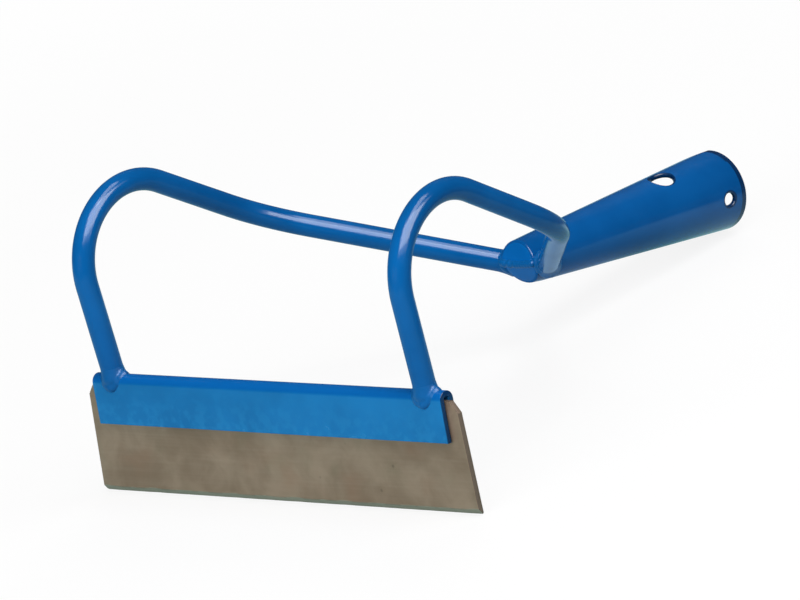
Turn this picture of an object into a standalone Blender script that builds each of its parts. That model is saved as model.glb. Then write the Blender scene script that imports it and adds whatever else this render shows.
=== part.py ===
"""Head of a weeding hoe: a bevelled blade in a folded holder, two bent arms and a rolled socket.

The head rests on its cutting edge and on the lower rim of the socket's mouth.
X runs along the blade, -Y is the blade's front, and Z is up.
"""
import math

import bmesh
import bpy
from mathutils import Vector

# General
GAP = 0.0003
EDGE_Y = -0.1188
FLAT_PLATE = math.radians(90.0)

# Blade, measured up its own face from the cutting edge
BLADE_LEAN = math.radians(7.1)
BLADE_WIDTH = 0.180
BLADE_HEIGHT = 0.0392
BLADE_THICKNESS = 0.002
SHOULDER_HEIGHT = 0.0352
SHOULDER_INSET = 0.0016
CORNER_CLIP = 0.0030
BEVEL_HEIGHT = 0.0020
EDGE_THICKNESS = 0.0003
EDGE_CORNER_RADIUS = 0.0006

# Folded holder that grips the blade's upper edge
HOLDER_LENGTH = 0.167
HOLDER_BOTTOM = 0.0251
HOLDER_TOP = 0.0427
HOLDER_SHEET = 0.0018
HOLDER_END_ROUND = 0.0004

# Bent arms: the corners of each bar's centre line before its bends are rounded
ARM_DIAMETER = 0.008
ARM_FOOT_X = 0.0748
ARM_TOP_CORNER = (0.0768, 0.0060, 0.1285)
ARM_TOP_RADIUS = 0.027
ARM_KINK = (0.0716, 0.0881, 0.0655)
ARM_KINK_RADIUS = 0.0445
ARM_APEX = (0.0, 0.1447, 0.0233)
ARM_INSIDE_SOCKET = 0.003
ARM_SIDES = 16
BEND_STEP = math.radians(6.0)

# Rolled conical socket, measured from its mouth towards the closed nose
SOCKET_DROP = math.radians(9.0)
SOCKET_LENGTH = 0.1054
SOCKET_MOUTH_Y = 0.2361
MOUTH_RADIUS = 0.0146
NOSE_RADIUS = 0.0080
SOCKET_WALL = 0.0018
SOCKET_SEGMENTS = 64
NOSE_ROUND = 0.0005
RIM_ROUND = 0.0004
SEAM_ANGLE = math.radians(138.0)
SEAM_HALF_WIDTH = 0.0115
SEAM_TIP_RADIUS = 0.0009
SEAM_LENGTH = 0.0300
DRAIN_HOLE_RADIUS = 0.0045
DRAIN_HOLE_ANGLE = math.radians(71.0)
DRAIN_HOLE_FROM_MOUTH = 0.0310
NAIL_HOLE_RADIUS = 0.0028
NAIL_HOLE_ANGLE = math.radians(-5.0)
NAIL_HOLE_FROM_MOUTH = 0.0083
HOLE_SEGMENTS = 32
PLUG_THICKNESS = 0.003
PLUG_SEGMENTS = 32

# Weld beads: the half sizes of each bead before the joined pieces are cut out of it
FOOT_BEAD = (0.0066, 0.0056, 0.0050)
FOOT_BEAD_HEIGHT = 0.0405
NECK_BEAD = (0.0039, 0.0059, 0.0074)
NOSE_BEAD = (0.0074, 0.0017, 0.0015)
NOSE_BEAD_DROP = 0.0005
BEAD_SUBDIVISIONS = 3

# Lengths that only have to reach past what they cut
CUT_OVERSHOOT = 0.004
HOLE_CUT_DEPTH = 0.010

PARTS_COLLECTION = "weeding_hoe_head"
CUTTERS_COLLECTION = "weeding_hoe_head_cutters"


def clear_scene():
    for item in list(bpy.data.objects):
        bpy.data.objects.remove(item, do_unlink=True)


def new_collection(name):
    collection = bpy.data.collections.new(name)
    bpy.context.scene.collection.children.link(collection)
    return collection


def new_frame(name, location, turn_x, parent=None):
    """An empty that carries the pieces modelled in its own axes."""
    frame = bpy.data.objects.new(name, None)
    bpy.data.collections[PARTS_COLLECTION].objects.link(frame)
    frame.parent = parent
    frame.location = location
    frame.rotation_euler = (turn_x, 0.0, 0.0)
    return frame


def new_material(name, colour, roughness, metallic):
    material = bpy.data.materials.new(name)
    material.use_nodes = True
    shader = material.node_tree.nodes["Principled BSDF"]
    shader.inputs["Base Color"].default_value = (*colour, 1.0)
    shader.inputs["Roughness"].default_value = roughness
    shader.inputs["Metallic"].default_value = metallic
    material.diffuse_color = (*colour, 1.0)
    return material


def blue_paint(name, colour):
    return new_material(name, colour, 0.28, 0.0)


def blade_steel():
    return new_material("blade_steel", (0.225, 0.170, 0.130), 0.42, 0.75)


def new_object(name, data, collection, parent, location=(0.0, 0.0, 0.0), rotation=(0.0, 0.0, 0.0)):
    item = bpy.data.objects.new(name, data)
    bpy.data.collections[collection].objects.link(item)
    item.parent = parent
    item.location = location
    item.rotation_euler = rotation
    return item


def finish_part(item, material):
    item.data.materials.append(material)
    if item.type == "MESH":
        item.data.shade_smooth()
        item.data.set_sharp_from_angle(angle=math.radians(35.0))
    return item


def hide_cutter(item):
    item.hide_render = True
    item.display_type = "WIRE"
    return item


def cut_away(item, cutter):
    modifier = item.modifiers.new("cut_" + cutter.name, "BOOLEAN")
    modifier.operation = "DIFFERENCE"
    modifier.solver = "EXACT"
    modifier.object = cutter


def arc_points(centre, radius, start, end, steps):
    """Points of a circular arc in a plane, both ends included."""
    points = []
    for step in range(steps + 1):
        angle = start + (end - start) * step / steps
        points.append((centre[0] + radius * math.cos(angle), centre[1] + radius * math.sin(angle)))
    return points


def outline_curve(name, outline, half_thickness):
    """A flat closed outline, filled and given its thickness."""
    curve = bpy.data.curves.new(name, "CURVE")
    curve.dimensions = "2D"
    curve.fill_mode = "BOTH"
    curve.extrude = half_thickness
    spline = curve.splines.new("POLY")
    spline.points.add(len(outline) - 1)
    for point, (x, y) in zip(spline.points, outline):
        point.co = (x, y, 0.0, 1.0)
    spline.use_cyclic_u = True
    return curve


def tube_curve(name, path, radius):
    """A round bar along a path, with closed ends."""
    curve = bpy.data.curves.new(name, "CURVE")
    curve.dimensions = "3D"
    curve.bevel_depth = radius
    curve.bevel_resolution = (ARM_SIDES - 4) // 2
    curve.use_fill_caps = True
    spline = curve.splines.new("POLY")
    spline.points.add(len(path) - 1)
    for point, place in zip(spline.points, path):
        point.co = (*place, 1.0)
    return curve


def mesh_from_curve(curve_object, collection):
    """Turn a curve object into a closed mesh object in the same place."""
    bpy.context.view_layer.update()
    evaluated = curve_object.evaluated_get(bpy.context.evaluated_depsgraph_get())
    mesh = bpy.data.meshes.new_from_object(evaluated)
    weld = bmesh.new()
    weld.from_mesh(mesh)
    bmesh.ops.remove_doubles(weld, verts=weld.verts, dist=0.00001)
    weld.to_mesh(mesh)
    weld.free()
    name = curve_object.name
    place = curve_object.matrix_world.copy()
    bpy.data.objects.remove(curve_object, do_unlink=True)
    solid = new_object(name, mesh, collection, None)
    solid.name = name
    solid.matrix_world = place
    return solid


def blade_outline():
    """Half outline from the cutting edge up to the clipped corner, then mirrored."""
    half = BLADE_WIDTH / 2
    radius = EDGE_CORNER_RADIUS
    right = arc_points((half - radius, radius), radius, -math.pi / 2, 0.0, 5)
    right.append((half - SHOULDER_INSET, SHOULDER_HEIGHT))
    right.append((half - SHOULDER_INSET - CORNER_CLIP, BLADE_HEIGHT))
    left = [(-x, y) for x, y in reversed(right)]
    return right + left


def make_blade(plate_frame):
    curve = outline_curve("blade", blade_outline(), BLADE_THICKNESS / 2)
    curve_object = new_object("blade", curve, PARTS_COLLECTION, plate_frame)
    blade = mesh_from_curve(curve_object, PARTS_COLLECTION)
    cut_away(blade, make_bevel_cutter(plate_frame))
    return finish_part(blade, blade_steel())


def make_bevel_cutter(plate_frame):
    """A long box whose lower back face lies along the bevel ground on the blade's front."""
    depth = BLADE_THICKNESS - EDGE_THICKNESS
    slope = math.atan2(depth, BEVEL_HEIGHT)
    size = 4 * BEVEL_HEIGHT
    cage = bmesh.new()
    bmesh.ops.create_cube(cage, size=1.0)
    bmesh.ops.scale(cage, verts=cage.verts, vec=(BLADE_WIDTH + 2 * CUT_OVERSHOOT, size, size))
    bmesh.ops.translate(cage, verts=cage.verts, vec=(0.0, 0.0, size / 2))
    mesh = bpy.data.meshes.new("blade_bevel_cutter")
    cage.to_mesh(mesh)
    cage.free()
    front_of_edge = (0.0, 0.0, EDGE_THICKNESS - BLADE_THICKNESS / 2)
    turn = (slope, 0.0, 0.0)
    cutter = new_object("blade_bevel_cutter", mesh, CUTTERS_COLLECTION, plate_frame, front_of_edge, turn)
    return hide_cutter(cutter)


def holder_radius():
    """Outer radius of the fold, which wraps the blade with a small clearance."""
    return BLADE_THICKNESS / 2 + GAP + HOLDER_SHEET


def holder_outline():
    """Cross-section of the folded sheet: two flanges joined by a full round fold."""
    outer = holder_radius()
    inner = outer - HOLDER_SHEET
    fold_centre = (0.0, HOLDER_TOP - outer)
    end_radius = HOLDER_END_ROUND
    outline = []
    for side in (1, -1):
        start, end = (-math.pi / 2, 0.0) if side > 0 else (math.pi, 1.5 * math.pi)
        lip_centre = (side * (outer - end_radius), HOLDER_BOTTOM + end_radius)
        lip = arc_points(lip_centre, end_radius, start, end, 3)
        outer_fold = arc_points(fold_centre, outer, 0.0, math.pi, 16)
        if side > 0:
            outline += [(inner, HOLDER_BOTTOM)] + lip + outer_fold
        else:
            outline += lip + [(-inner, HOLDER_BOTTOM)]
    outline += arc_points(fold_centre, inner, math.pi, 0.0, 10)
    return outline


def make_holder(plate_frame):
    curve = outline_curve("blade_holder", holder_outline(), HOLDER_LENGTH / 2)
    across = (0.0, -FLAT_PLATE, 0.0)
    curve_object = new_object("blade_holder", curve, PARTS_COLLECTION, plate_frame, rotation=across)
    holder = mesh_from_curve(curve_object, PARTS_COLLECTION)
    return finish_part(holder, blue_paint("holder_paint", (0.018, 0.176, 0.430)))


def make_holder_clearance(plate_frame):
    """The holder's filled outer shape, a gap larger, which the weld beads are cut to."""
    outer = holder_radius() + GAP
    fold_centre = (0.0, HOLDER_TOP + GAP - outer)
    outline = arc_points(fold_centre, outer, 0.0, math.pi, 16)
    outline += [(-outer, HOLDER_BOTTOM), (outer, HOLDER_BOTTOM)]
    curve = outline_curve("holder_clearance", outline, HOLDER_LENGTH / 2)
    across = (0.0, -FLAT_PLATE, 0.0)
    curve_object = new_object("holder_clearance", curve, CUTTERS_COLLECTION, plate_frame, rotation=across)
    return hide_cutter(mesh_from_curve(curve_object, CUTTERS_COLLECTION))


def rounded_path(corners, radii):
    """A centre line of straight runs whose inner corners are rounded to the given radii."""
    path = [corners[0]]
    for before, corner, after, radius in zip(corners, corners[1:], corners[2:], radii):
        back = (before - corner).normalized()
        ahead = (after - corner).normalized()
        opening = back.angle(ahead)
        turn = math.pi - opening
        centre = corner + (back + ahead).normalized() * radius / math.sin(opening / 2)
        start = corner + back * radius / math.tan(opening / 2) - centre
        end = corner + ahead * radius / math.tan(opening / 2) - centre
        steps = math.ceil(turn / BEND_STEP)
        for step in range(steps + 1):
            part = turn * step / steps
            spoke = (start * math.sin(turn - part) + end * math.sin(part)) / math.sin(turn)
            path.append(centre + spoke)
    path.append(corners[-1])
    return path


def foot_point(side):
    """Centre of the bar's lower end, a gap above the top of the fold."""
    fold_height = HOLDER_TOP - holder_radius()
    y = fold_height * math.sin(BLADE_LEAN)
    z = fold_height * math.cos(BLADE_LEAN) + holder_radius() + GAP
    return Vector((side * ARM_FOOT_X, y, z))


def socket_radius(from_mouth):
    share = from_mouth / SOCKET_LENGTH
    return MOUTH_RADIUS + (NOSE_RADIUS - MOUTH_RADIUS) * share


def mirrored(point, side):
    return Vector((side * point[0], point[1], point[2]))


def neck_joint(side, tool_frame, socket_frame):
    """Where the arm's centre line crosses the socket's wall, in the tool's axes."""
    bpy.context.view_layer.update()
    to_socket = socket_frame.matrix_world.inverted() @ tool_frame.matrix_world
    outside = mirrored(ARM_KINK, side)
    inside = mirrored(ARM_APEX, side)
    for _ in range(40):
        middle = (outside + inside) / 2
        local = to_socket @ middle
        if math.hypot(local.x, local.y) > socket_radius(local.z):
            outside = middle
        else:
            inside = middle
    return outside


def arm_path(side, joint, extra):
    """Centre line from the foot on the holder to a little way inside the socket's wall."""
    kink = mirrored(ARM_KINK, side)
    end = joint + (joint - kink).normalized() * extra
    corners = [foot_point(side), mirrored(ARM_TOP_CORNER, side), kink, end]
    return rounded_path(corners, (ARM_TOP_RADIUS, ARM_KINK_RADIUS))


def make_arm(name, side, joint, tool_frame, socket_clearance):
    path = arm_path(side, joint, ARM_INSIDE_SOCKET)
    curve = tube_curve(name, path, ARM_DIAMETER / 2)
    arm = mesh_from_curve(new_object(name, curve, PARTS_COLLECTION, tool_frame), PARTS_COLLECTION)
    cut_away(arm, socket_clearance)
    return finish_part(arm, blue_paint(name + "_paint", (0.006, 0.083, 0.262)))


def make_arm_clearance(name, side, joint, tool_frame):
    """The bar, a gap thicker and longer at its foot, which the weld beads are cut to."""
    path = arm_path(side, joint, ARM_INSIDE_SOCKET + GAP)
    path[0] = path[0] - Vector((0.0, 0.0, GAP))
    curve = tube_curve(name, path, ARM_DIAMETER / 2 + GAP)
    curve_object = new_object(name, curve, CUTTERS_COLLECTION, tool_frame)
    return hide_cutter(mesh_from_curve(curve_object, CUTTERS_COLLECTION))


def rim_circle():
    """Radius at which the rounding of the mouth's outer edge is centred."""
    return socket_radius(RIM_ROUND) - RIM_ROUND


def mouth_height():
    """Height of the mouth's centre that puts its lower rim on the ground."""
    return rim_circle() * math.cos(SOCKET_DROP) - RIM_ROUND * math.sin(SOCKET_DROP) + RIM_ROUND


def socket_profile():
    """Wall section: down the outer side, round the rim of the mouth and up the inner side."""
    nose_centre = (NOSE_RADIUS - NOSE_ROUND, SOCKET_LENGTH - NOSE_ROUND)
    inner_edge = (rim_circle() - SOCKET_WALL + 2 * RIM_ROUND, RIM_ROUND)
    profile = arc_points(nose_centre, NOSE_ROUND, math.pi / 2, 0.0, 4)
    profile += arc_points((rim_circle(), RIM_ROUND), RIM_ROUND, 0.0, -math.pi / 2, 3)
    profile += arc_points(inner_edge, RIM_ROUND, -math.pi / 2, -math.pi, 3)
    profile.append((NOSE_RADIUS - SOCKET_WALL, SOCKET_LENGTH))
    return profile


def make_socket(socket_frame):
    mesh = bpy.data.meshes.new("socket")
    profile = socket_profile()
    count = len(profile)
    edges = [(index, (index + 1) % count) for index in range(count)]
    mesh.from_pydata([(radius, 0.0, height) for radius, height in profile], edges, [])
    socket = new_object("socket", mesh, PARTS_COLLECTION, socket_frame)
    turn = socket.modifiers.new("turn", "SCREW")
    turn.axis = "Z"
    turn.angle = 2 * math.pi
    turn.steps = SOCKET_SEGMENTS
    turn.render_steps = SOCKET_SEGMENTS
    turn.use_merge_vertices = True
    turn.merge_threshold = 0.00001
    cut_away(socket, make_seam_cutter(socket_frame))
    drain = ("drain_hole_cutter", DRAIN_HOLE_RADIUS, DRAIN_HOLE_ANGLE, DRAIN_HOLE_FROM_MOUTH)
    nail = ("nail_hole_cutter", NAIL_HOLE_RADIUS, NAIL_HOLE_ANGLE, NAIL_HOLE_FROM_MOUTH)
    for name, radius, angle, from_mouth in (drain, nail):
        cut_away(socket, make_hole_cutter(name, radius, angle, from_mouth, socket_frame))
    return finish_part(socket, blue_paint("socket_paint", (0.005, 0.095, 0.330)))


def on_socket_wall(angle, from_mouth):
    """Place and turn of a cutter that points out through the socket's wall."""
    radius = socket_radius(from_mouth)
    location = (radius * math.cos(angle), radius * math.sin(angle), from_mouth)
    return location, (math.pi / 2, 0.0, angle + math.pi / 2)


def make_seam_cutter(socket_frame):
    """The open seam of the rolled sheet: a wedge with a round tip, widest where it leaves the mouth."""
    half = SEAM_HALF_WIDTH
    tip = SEAM_TIP_RADIUS
    outline = [(-half, -CUT_OVERSHOOT), (half, -CUT_OVERSHOOT)]
    outline += arc_points((0.0, SEAM_LENGTH - tip), tip, 0.0, math.pi, 8)
    curve = outline_curve("seam_cutter", outline, HOLE_CUT_DEPTH)
    location, rotation = on_socket_wall(SEAM_ANGLE, 0.0)
    curve_object = new_object("seam_cutter", curve, CUTTERS_COLLECTION, socket_frame, location, rotation)
    return hide_cutter(mesh_from_curve(curve_object, CUTTERS_COLLECTION))


def cylinder_mesh(name, radius, depth, segments):
    cage = bmesh.new()
    bmesh.ops.create_cone(cage, cap_ends=True, segments=segments, radius1=radius, radius2=radius, depth=depth)
    mesh = bpy.data.meshes.new(name)
    cage.to_mesh(mesh)
    cage.free()
    return mesh


def make_hole_cutter(name, radius, angle, from_mouth, socket_frame):
    mesh = cylinder_mesh(name, radius, HOLE_CUT_DEPTH, HOLE_SEGMENTS)
    location, rotation = on_socket_wall(angle, from_mouth)
    return hide_cutter(new_object(name, mesh, CUTTERS_COLLECTION, socket_frame, location, rotation))


def make_socket_clearance(socket_frame):
    """The socket's filled outer cone, a gap larger and longer at both ends."""
    cage = bmesh.new()
    low = -CUT_OVERSHOOT
    high = SOCKET_LENGTH + CUT_OVERSHOOT
    bmesh.ops.create_cone(cage, cap_ends=True, segments=SOCKET_SEGMENTS, radius1=socket_radius(low) + GAP,
                          radius2=socket_radius(high) + GAP, depth=high - low)
    bmesh.ops.translate(cage, verts=cage.verts, vec=(0.0, 0.0, (high + low) / 2))
    mesh = bpy.data.meshes.new("socket_clearance")
    cage.to_mesh(mesh)
    cage.free()
    return hide_cutter(new_object("socket_clearance", mesh, CUTTERS_COLLECTION, socket_frame))


def make_nose_plug(socket_frame):
    """The disc that closes the small end of the socket."""
    radius = NOSE_RADIUS - SOCKET_WALL - GAP
    mesh = cylinder_mesh("nose_plug", radius, PLUG_THICKNESS, PLUG_SEGMENTS)
    centre = (0.0, 0.0, SOCKET_LENGTH - PLUG_THICKNESS / 2)
    plug = new_object("nose_plug", mesh, PARTS_COLLECTION, socket_frame, centre)
    soften = plug.modifiers.new("soften", "BEVEL")
    soften.width = NOSE_ROUND
    soften.segments = 2
    soften.limit_method = "ANGLE"
    return finish_part(plug, blue_paint("plug_paint", (0.004, 0.114, 0.366)))


def make_nose_clearance(socket_frame):
    """A block that ends a gap in front of the closed nose, which the bead across the nose is cut to."""
    depth = CUT_OVERSHOOT
    mesh = cylinder_mesh("nose_clearance", NOSE_RADIUS + CUT_OVERSHOOT, depth, SOCKET_SEGMENTS)
    centre = (0.0, 0.0, SOCKET_LENGTH + GAP - depth / 2)
    return hide_cutter(new_object("nose_clearance", mesh, CUTTERS_COLLECTION, socket_frame, centre))


def make_bead(name, half_sizes, frame, location, cutters):
    """A weld bead: a rounded lump with the pieces that it joins cut out of it."""
    cage = bmesh.new()
    bmesh.ops.create_icosphere(cage, subdivisions=BEAD_SUBDIVISIONS, radius=1.0)
    bmesh.ops.scale(cage, verts=cage.verts, vec=half_sizes)
    mesh = bpy.data.meshes.new(name)
    cage.to_mesh(mesh)
    cage.free()
    bead = new_object(name, mesh, PARTS_COLLECTION, frame, location)
    for cutter in cutters:
        cut_away(bead, cutter)
    return finish_part(bead, blue_paint(name + "_paint", (0.010, 0.110, 0.320)))


def build():
    clear_scene()
    new_collection(PARTS_COLLECTION)
    new_collection(CUTTERS_COLLECTION)

    tool_frame = new_frame("tool_frame", (0.0, EDGE_Y, 0.0), 0.0)
    edge_rise = BLADE_THICKNESS / 2 * math.sin(BLADE_LEAN)
    plate_frame = new_frame("plate_frame", (0.0, 0.0, edge_rise), FLAT_PLATE - BLADE_LEAN, tool_frame)
    mouth_centre = (0.0, SOCKET_MOUTH_Y, mouth_height())
    socket_frame = new_frame("socket_frame", mouth_centre, FLAT_PLATE - SOCKET_DROP, tool_frame)

    make_blade(plate_frame)
    make_holder(plate_frame)
    make_socket(socket_frame)
    make_nose_plug(socket_frame)

    holder_clearance = make_holder_clearance(plate_frame)
    socket_clearance = make_socket_clearance(socket_frame)
    for word, side in (("left", -1), ("right", 1)):
        joint = neck_joint(side, tool_frame, socket_frame)
        make_arm(word + "_arm", side, joint, tool_frame, socket_clearance)
        arm_clearance = make_arm_clearance(word + "_arm_clearance", side, joint, tool_frame)
        foot = (side * ARM_FOOT_X, FOOT_BEAD_HEIGHT, 0.0)
        make_bead("foot_weld_" + word, FOOT_BEAD, plate_frame, foot, (holder_clearance, arm_clearance))
        to_socket = socket_frame.matrix_world.inverted() @ tool_frame.matrix_world
        neck = to_socket @ joint
        make_bead("neck_weld_" + word, NECK_BEAD, socket_frame, neck, (socket_clearance, arm_clearance))
    nose = (0.0, -NOSE_BEAD_DROP, SOCKET_LENGTH)
    make_bead("nose_weld", NOSE_BEAD, socket_frame, nose, (make_nose_clearance(socket_frame),))


build()
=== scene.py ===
"""Weeding hoe head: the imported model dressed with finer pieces, blue enamel, blade steel and studio light.

Lengths are in metres. X runs along the blade, -Y is the blade's front, and Z is up.
"""

import math

import bmesh
import bpy
from mathutils import Matrix, Vector, noise


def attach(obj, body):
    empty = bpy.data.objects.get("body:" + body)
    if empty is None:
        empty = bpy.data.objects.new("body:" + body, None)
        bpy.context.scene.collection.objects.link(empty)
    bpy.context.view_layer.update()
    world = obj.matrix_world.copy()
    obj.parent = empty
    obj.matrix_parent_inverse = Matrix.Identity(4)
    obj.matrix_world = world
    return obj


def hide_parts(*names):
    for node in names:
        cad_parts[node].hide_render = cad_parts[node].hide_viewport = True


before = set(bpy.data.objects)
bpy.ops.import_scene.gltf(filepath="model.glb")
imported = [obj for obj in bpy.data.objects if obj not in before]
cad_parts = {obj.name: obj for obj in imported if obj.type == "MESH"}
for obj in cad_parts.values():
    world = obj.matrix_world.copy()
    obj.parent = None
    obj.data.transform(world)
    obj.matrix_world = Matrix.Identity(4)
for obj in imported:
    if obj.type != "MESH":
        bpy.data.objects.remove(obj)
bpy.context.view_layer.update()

FULL_TURN = 2 * math.pi
QUARTER_TURN = math.pi / 2

# How near a point counts as on a line or a face, and how near points are merged
NEAR = 1e-6
MERGE = 1e-7

# Sizes of the solids: only the large hole's angle and the nail hole's radius are a little different
GAP = 0.0003
EDGE_Y = -0.1188

BLADE_LEAN = math.radians(7.1)
BLADE_WIDTH = 0.180
BLADE_HEIGHT = 0.0392
BLADE_THICKNESS = 0.002
SHOULDER_HEIGHT = 0.0352
SHOULDER_INSET = 0.0016
CORNER_CLIP = 0.0030
BEVEL_HEIGHT = 0.0020
EDGE_THICKNESS = 0.0003
EDGE_CORNER_RADIUS = 0.0006

HOLDER_LENGTH = 0.167
HOLDER_BOTTOM = 0.0251
HOLDER_TOP = 0.0427
HOLDER_SHEET = 0.0018
HOLDER_RADIUS = BLADE_THICKNESS / 2 + GAP + HOLDER_SHEET
FOLD_HEIGHT = HOLDER_TOP - HOLDER_RADIUS

ARM_RADIUS = 0.004
ARM_FOOT_X = 0.0748
ARM_TOP_CORNER = (0.0768, 0.0060, 0.1285)
ARM_TOP_RADIUS = 0.027
ARM_KINK = (0.0716, 0.0881, 0.0655)
ARM_KINK_RADIUS = 0.0445
ARM_APEX = (0.0, 0.1447, 0.0233)

SOCKET_DROP = math.radians(9.0)
SOCKET_LENGTH = 0.1054
SOCKET_MOUTH_Y = 0.2361
MOUTH_HEIGHT = 0.014338
MOUTH_RADIUS = 0.0146
NOSE_RADIUS = 0.0080
SOCKET_SLOPE = (MOUTH_RADIUS - NOSE_RADIUS) / SOCKET_LENGTH
SOCKET_WALL = 0.0018
SEAM_ANGLE = math.radians(138.0)
SEAM_MOUTH_HALF_WIDTH = 0.01022
SEAM_TIP_RADIUS = 0.0009
SEAM_LENGTH = 0.0300
DRAIN_HOLE_RADIUS = 0.0045
DRAIN_HOLE_ANGLE = math.radians(72.5)
DRAIN_HOLE_FROM_MOUTH = 0.0310
NAIL_HOLE_RADIUS = 0.0024
NAIL_HOLE_ANGLE = math.radians(-5.0)
NAIL_HOLE_FROM_MOUTH = 0.0083
PLUG_THICKNESS = 0.003

# The finer blade: its bevel's upper line and its edge wander with one noise along the blade
BLADE_ROUNDING = 0.00015
BLADE_SLICES = 180
EDGE_CORNER_STEPS = 8
BEVEL_LINES = (0.0006, 0.0014, 0.0021, BEVEL_HEIGHT, BEVEL_HEIGHT + 0.0004)
WANDER_PITCH = 130.0
WANDER = 0.00022
BEVEL_WANDER_SHARE = 1.6
EDGE_WANDER_SHARE = 0.5
EDGE_WANDER_HEIGHT = 0.0012
BEVEL_BLUR = 0.00005
BEVEL_SHARP_ANGLE = math.radians(24.0)

# The finer holder: rounded lips, a slight sway, thin paint near its ends, and painted shade at its ends and
# on its fold
HOLDER_LIP = 0.0004
HOLDER_ROUNDING = 0.00025
HOLDER_SLICES = 84
HOLDER_SWAY = 0.00006
SWAY_PITCH_ALONG = 28.0
SWAY_PITCH_UP = 40.0
SWAY_ROW = 3.0
LIP_STEPS = 5
OUTER_FOLD_STEPS = 40
INNER_FOLD_STEPS = 20
THIN_PAINT_REACH = 0.0006
END_SHADE_REACH = 0.0002
FOLD_SHADE_FADE = 0.0010

# The finer arms
BEND_STEP = math.radians(2.0)
RUN_STEP = 0.004
ARM_SIDES = 56
ARM_UNEVENNESS = 0.012
ARM_NOISE_SCALE = 42.0
ARM_IN_WALL = 0.003
JOINT_HALVINGS = 40
FOOT_SINK = 0.0012

# The finer socket: the painted shade at the rim is full up to the first distance from the mouth, gone by the
# second
BLANK_RADIUS = 0.0113
BLANK_STEP = math.radians(3.0)
BLANK_ROWS = 12
OUTLINE_ROWS = 60
SEAM_TIP_ROWS = 10
HOLE_SIDES = 56
SHEET_ROUNDING = 0.0006
RIM_SHADE_LINES = (0.0022, 0.0032)
INNER_SKIN = 0.0002
BUTT_HALF_WIDTH = 0.00006
NOSE_EDGE_HEIGHT = 0.0004
NOSE_LEAN_LENGTH = 0.009
NOSE_LEAN_UNDER = 0.48
NOSE_LEAN_OVER = 0.16
CORE_SIDES = 96

# The finer plug: a rim that overlaps the socket's end, and a slightly raised middle
PLUG_OVERLAP = 0.0002
PLUG_RIM_DEPTH = 0.0004
PLUG_RIM_WIDTH = 0.0004
PLUG_RIM_SINK = 0.00006
PLUG_RIM_RISE = 0.00008
PLUG_CROWN_RISE = 0.00012
PLUG_CROWN_STEP = 0.00002
PLUG_TOP_RISE = 0.0003
PLUG_SIDES = 72
PLUG_RINGS = 9

# The weld beads: rings of drops, and collars that run out along the bars
WELD_VOXEL = 0.00026
DROP_VARIATION = 0.12
RING_STEPS = 40
COLLAR_SINK = 0.00008
COLLAR_DOME = 0.0034
COLLAR_DOME_STEPS = 8
COLLAR_STEPS = 12
COLLAR_HOLLOW = 2.5
COLLAR_SIDES = 48

FOOT_RING_ALONG = 0.0044
FOOT_RING_ACROSS = 0.0027
FOOT_RING_SINK = 0.0004
FOOT_RING_FALL = 0.0038
FOOT_RING_CURVE = 1.5
FOOT_COLLAR_LENGTH = 0.0070
FOOT_COLLAR_FLARE = 0.0007

NECK_RING_GAP = 0.0001
NECK_RING_SQUASH = 0.0008
NECK_REACH_BACK = -0.0062
NECK_REACH_AHEAD = 0.0028
NECK_WALL_REACH = 0.0002
NECK_SEARCH_START = 0.02
NECK_SEARCH_STEP = 0.0001
NECK_SEARCH_STEPS = 260
NECK_COLLAR_IN = 0.0005
NECK_COLLAR_OUT = 0.0080
NECK_COLLAR_FLARE = 0.0009

NOSE_BEAD_REACH = 0.0070
NOSE_BEAD_STEPS = 20
NOSE_BEAD_SAG = 0.0004
NOSE_BEAD_LIFT = -0.0003
NOSE_BEAD_SINK = 0.0001

SHARP_ANGLE = math.radians(50.0)

# Angle, distance from the mouth, radius, and width of the ring of painted shade round each hole in the
# socket
PUNCHED_HOLES = (
    (DRAIN_HOLE_ANGLE, DRAIN_HOLE_FROM_MOUTH, DRAIN_HOLE_RADIUS, 0.0008),
    (NAIL_HOLE_ANGLE, NAIL_HOLE_FROM_MOUTH, NAIL_HOLE_RADIUS, 0.0013),
)

# Paint: one blue enamel in copies; the holder's and the nose's copies are lighter because those faces look
# to the front light: painted light
HOLDER_LIT_BLUE = (0.003, 0.145, 0.395)
ARM_BLUE = (0.0005, 0.090, 0.304)
SOCKET_BLUE = (0.0005, 0.081, 0.290)
NOSE_LIT_BLUE = (0.0005, 0.112, 0.390)
WELD_BLUE = (0.0005, 0.092, 0.300)
# Near-black blue for painted shade at the holder's ends and round the socket's rims and holes
PAINTED_SHADE_BLUE = (0.0008, 0.014, 0.055)
OVERSPRAY_BLUE = (0.004, 0.036, 0.098)
BORE_STEEL = (0.026, 0.030, 0.037)
ENAMEL_SPECULAR = 0.32

# What each look of the paint does to its colour: factors, and for some an added part
DEEP_TINT = (0.86, 0.86, 0.86)
PALE_TINT = (1.5, 1.12, 1.08)
PALE_LIFT = (0.001, 0.0, 0.0)
THIN_TINT = (1.0, 1.25, 1.15)
THIN_LIFT = (0.008, 0.01, 0.0)
# The fold's tint is painted shade
FOLD_SHADE_TINT = (0.3, 0.66, 0.88)

# Scales of the paint's noises, the values between which each look sets in, and the height of its relief
COAT_SCALE = 34.0
DRIFT_SCALE = 9.0
COAT_RANGE = (0.36, 0.64)
THIN_EDGE_SCALE = 260.0
THIN_EDGE_RANGE = (0.42, 0.62)
SMUDGE_SCALE = 46.0
SMUDGE_RANGE = (0.40, 0.72)
DUST_SCALE = 190.0
DUST_SIZE = (0.03, 0.10)
BORE_SCALE = 150.0
BORE_RANGE = (0.42, 0.66)
FINE_PEEL_SCALE = 560.0
FINE_PEEL_DEPTH = 0.000006
BROAD_PEEL_SCALE = 130.0
BROAD_PEEL_DEPTH = 0.00003
DUST_NIB_HEIGHT = 0.00002

# The finer noise's share in the coat, and the share of a hole's ring of painted shade that is fully dark
COAT_SHARE = 0.6
FULL_SHADE_RING_SHARE = 0.4

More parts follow.
